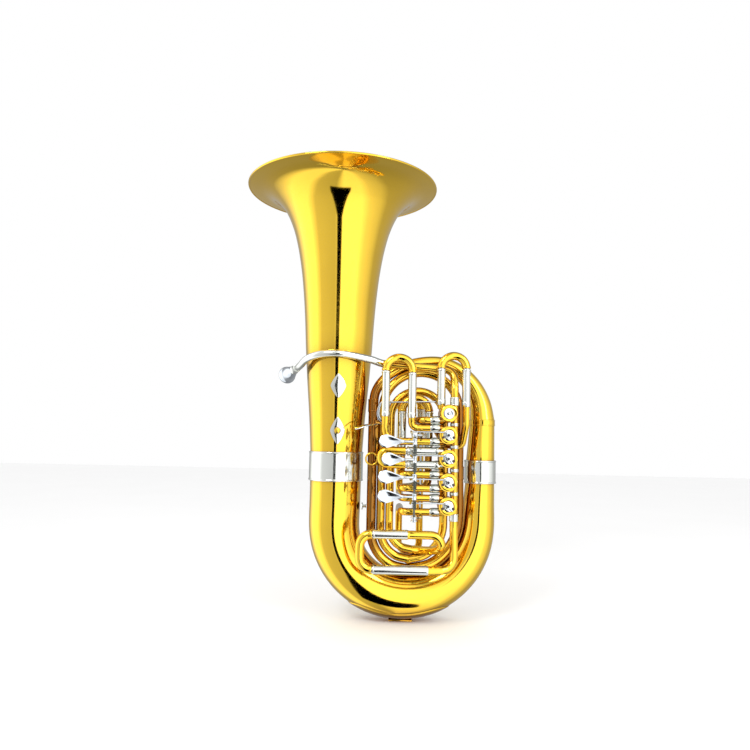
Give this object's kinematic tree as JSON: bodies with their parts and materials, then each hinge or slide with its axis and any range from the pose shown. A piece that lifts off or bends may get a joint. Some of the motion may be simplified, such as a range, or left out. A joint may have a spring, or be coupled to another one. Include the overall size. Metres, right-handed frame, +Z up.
{
  "type": "tuba",
  "caption": "Rotary-valve bass tuba with an upright flared bell, finger paddles, a thumb lever, pull-out tuning slides and a removable mouthpiece.",
  "frame": {"origin": "centre of the flat foot under the bow guard, the lowest point of the instrument", "axes": "+Z up along the bell axis towards the rim; -Y towards the valve side; +X from the bell towards the outer branch"},
  "size_m": [0.5344, 0.404, 0.9],
  "materials": {
    "lacquered_brass": "clear-lacquered polished yellow brass",
    "nickel_silver": "polished nickel silver",
    "silver_plate": "polished silver plate",
    "spring_steel": "bright steel wire and rod"
  },
  "bodies": {
    "tuba_body": {"bell": "lacquered_brass", "bell_brace": "nickel_silver", "bell_ferrule": "nickel_silver", "bell_flange": "nickel_silver", "bottom_bow": "lacquered_brass", "bow_guard": "nickel_silver", "coil_tube_1": "lacquered_brass", "coil_tube_2": "lacquered_brass", "coil_tube_3": "lacquered_brass", "coil_tube_4": "lacquered_brass", "first_tube_lower": "nickel_silver", "first_tube_upper": "nickel_silver", "fourth_tube_lower": "nickel_silver", "fourth_tube_upper": "nickel_silver", "hinge_bracket": "silver_plate", "hinge_rod": "spring_steel", "leadpipe": "nickel_silver", "lyre_socket": "nickel_silver", "mouthpiece_receiver": "nickel_silver", "outer_branch": "lacquered_brass", "outer_ferrule": "nickel_silver", "paddle_spring_1": "spring_steel", "paddle_spring_2": "spring_steel", "paddle_spring_3": "spring_steel", "paddle_spring_4": "spring_steel", "third_tube_lower": "nickel_silver", "third_tube_upper": "nickel_silver", "thumb_ring": "nickel_silver", "thumb_tube_lower": "nickel_silver", "thumb_tube_upper": "nickel_silver", "top_bow": "lacquered_brass", "tuning_feed": "lacquered_brass", "valve_cap": "lacquered_brass", "valve_casing_1": "lacquered_brass", "valve_casing_2": "lacquered_brass", "valve_casing_3": "lacquered_brass", "valve_casing_4": "lacquered_brass", "valve_casing_5": "lacquered_brass"},
    "paddle_1": {"paddle_1": "silver_plate"},
    "link_rod_1": {"link_rod_1": "silver_plate"},
    "rotor_2": {"rotor_2": "nickel_silver"},
    "paddle_2": {"paddle_2": "silver_plate"},
    "link_rod_2": {"link_rod_2": "silver_plate"},
    "rotor_3": {"rotor_3": "nickel_silver"},
    "paddle_3": {"paddle_3": "silver_plate"},
    "link_rod_3": {"link_rod_3": "silver_plate"},
    "rotor_4": {"rotor_4": "nickel_silver"},
    "paddle_4": {"paddle_4": "silver_plate"},
    "link_rod_4": {"link_rod_4": "silver_plate"},
    "rotor_5": {"rotor_5": "nickel_silver"},
    "thumb_lever": {"thumb_lever": "silver_plate"},
    "thumb_link_rod": {"thumb_link_rod": "silver_plate"},
    "rotor_1": {"rotor_1": "nickel_silver"},
    "main_tuning_slide": {"main_tuning_slide": "lacquered_brass"},
    "first_slide": {"first_slide": "lacquered_brass"},
    "thumb_slide": {"thumb_slide": "lacquered_brass"},
    "second_slide": {"second_slide": "lacquered_brass"},
    "third_slide": {"third_slide": "lacquered_brass"},
    "fourth_slide": {"fourth_slide": "lacquered_brass"},
    "mouthpiece": {"mouthpiece": "silver_plate"}
  },
  "joints": [
    {"name": "paddle_1_press", "type": "hinge", "parent": "tuba_body", "child": "paddle_1", "pos_m": [0.018, -0.124, 0.3625], "axis": [0, 0, -1], "range_deg": [0, 20.69], "stiffness_Nm_per_rad": 0.25, "springref_deg": -20.05},
    {"name": "link_rod_1_travel", "type": "slide", "parent": "tuba_body", "child": "link_rod_1", "axis": [1, 0, 0], "range_m": [0, 0.01151]},
    {"name": "rotor_2_turn", "type": "hinge", "parent": "tuba_body", "child": "rotor_2", "pos_m": [0.086, -0.068, 0.376], "axis": [0, 1, 0], "range_deg": [0, 90.5]},
    {"name": "paddle_2_press", "type": "hinge", "parent": "tuba_body", "child": "paddle_2", "pos_m": [0.018, -0.124, 0.3285], "axis": [0, 0, -1], "range_deg": [0, 20.69], "stiffness_Nm_per_rad": 0.25, "springref_deg": -20.05},
    {"name": "link_rod_2_travel", "type": "slide", "parent": "tuba_body", "child": "link_rod_2", "axis": [1, 0, 0], "range_m": [0, 0.01151]},
    {"name": "rotor_3_turn", "type": "hinge", "parent": "tuba_body", "child": "rotor_3", "pos_m": [0.086, -0.068, 0.33], "axis": [0, 1, 0], "range_deg": [0, 90.5]},
    {"name": "paddle_3_press", "type": "hinge", "parent": "tuba_body", "child": "paddle_3", "pos_m": [0.018, -0.124, 0.295], "axis": [0, 0, -1], "range_deg": [0, 20.69], "stiffness_Nm_per_rad": 0.25, "springref_deg": -20.05},
    {"name": "link_rod_3_travel", "type": "slide", "parent": "tuba_body", "child": "link_rod_3", "axis": [1, 0, 0], "range_m": [0, 0.01151]},
    {"name": "rotor_4_turn", "type": "hinge", "parent": "tuba_body", "child": "rotor_4", "pos_m": [0.086, -0.068, 0.284], "axis": [0, 1, 0], "range_deg": [0, 90.5]},
    {"name": "paddle_4_press", "type": "hinge", "parent": "tuba_body", "child": "paddle_4", "pos_m": [0.018, -0.124, 0.2585], "axis": [0, 0, -1], "range_deg": [0, 20.69], "stiffness_Nm_per_rad": 0.25, "springref_deg": -20.05},
    {"name": "link_rod_4_travel", "type": "slide", "parent": "tuba_body", "child": "link_rod_4", "axis": [1, 0, 0], "range_m": [0, 0.01151]},
    {"name": "rotor_5_turn", "type": "hinge", "parent": "tuba_body", "child": "rotor_5", "pos_m": [0.086, -0.068, 0.238], "axis": [0, 1, 0], "range_deg": [0, 90.5]},
    {"name": "thumb_lever_press", "type": "hinge", "parent": "tuba_body", "child": "thumb_lever", "pos_m": [-0.04, -0.057, 0.398], "axis": [0, -1, 0], "range_deg": [0, 20.84], "stiffness_Nm_per_rad": 0.3, "springref_deg": -20.05},
    {"name": "thumb_link_rod_travel", "type": "slide", "parent": "tuba_body", "child": "thumb_link_rod", "axis": [-1, 0, 0], "range_m": [0, 0.01576]},
    {"name": "rotor_1_turn", "type": "hinge", "parent": "tuba_body", "child": "rotor_1", "pos_m": [0.086, -0.068, 0.4185], "axis": [0, -1, 0], "range_deg": [0, 90.5]},
    {"name": "main_tuning_slide_pull", "type": "slide", "parent": "tuba_body", "child": "main_tuning_slide", "axis": [-1, 0, 0], "range_m": [0, 0.06]},
    {"name": "first_slide_pull", "type": "slide", "parent": "tuba_body", "child": "first_slide", "axis": [0, 0, 1], "range_m": [0, 0.045]},
    {"name": "thumb_slide_pull", "type": "slide", "parent": "tuba_body", "child": "thumb_slide", "axis": [0, 0, 1], "range_m": [0, 0.045]},
    {"name": "second_slide_pull", "type": "slide", "parent": "tuba_body", "child": "second_slide", "axis": [-1, 0, 0], "range_m": [0, 0.022]},
    {"name": "third_slide_pull", "type": "slide", "parent": "tuba_body", "child": "third_slide", "axis": [0, 0, 1], "range_m": [0, 0.04]},
    {"name": "fourth_slide_pull", "type": "slide", "parent": "tuba_body", "child": "fourth_slide", "axis": [0, 0, 1], "range_m": [0, 0.05]},
    {"name": "mouthpiece_pull", "type": "slide", "parent": "tuba_body", "child": "mouthpiece", "axis": [-0.4133, 0.899, -0.1447], "range_m": [0, 0.025]}
  ],
  "couplings": [
    {"joint": "link_rod_1_travel", "follows": "paddle_1_press", "m_per_rad": 0.03133},
    {"joint": "rotor_2_turn", "follows": "paddle_1_press", "ratio": 4.3497},
    {"joint": "link_rod_2_travel", "follows": "paddle_2_press", "m_per_rad": 0.03133},
    {"joint": "rotor_3_turn", "follows": "paddle_2_press", "ratio": 4.3497},
    {"joint": "link_rod_3_travel", "follows": "paddle_3_press", "m_per_rad": 0.03133},
    {"joint": "rotor_4_turn", "follows": "paddle_3_press", "ratio": 4.3497},
    {"joint": "link_rod_4_travel", "follows": "paddle_4_press", "m_per_rad": 0.03133},
    {"joint": "rotor_5_turn", "follows": "paddle_4_press", "ratio": 4.3497},
    {"joint": "thumb_link_rod_travel", "follows": "thumb_lever_press", "m_per_rad": 0.04276},
    {"joint": "rotor_1_turn", "follows": "thumb_lever_press", "ratio": 4.318}
  ]
}
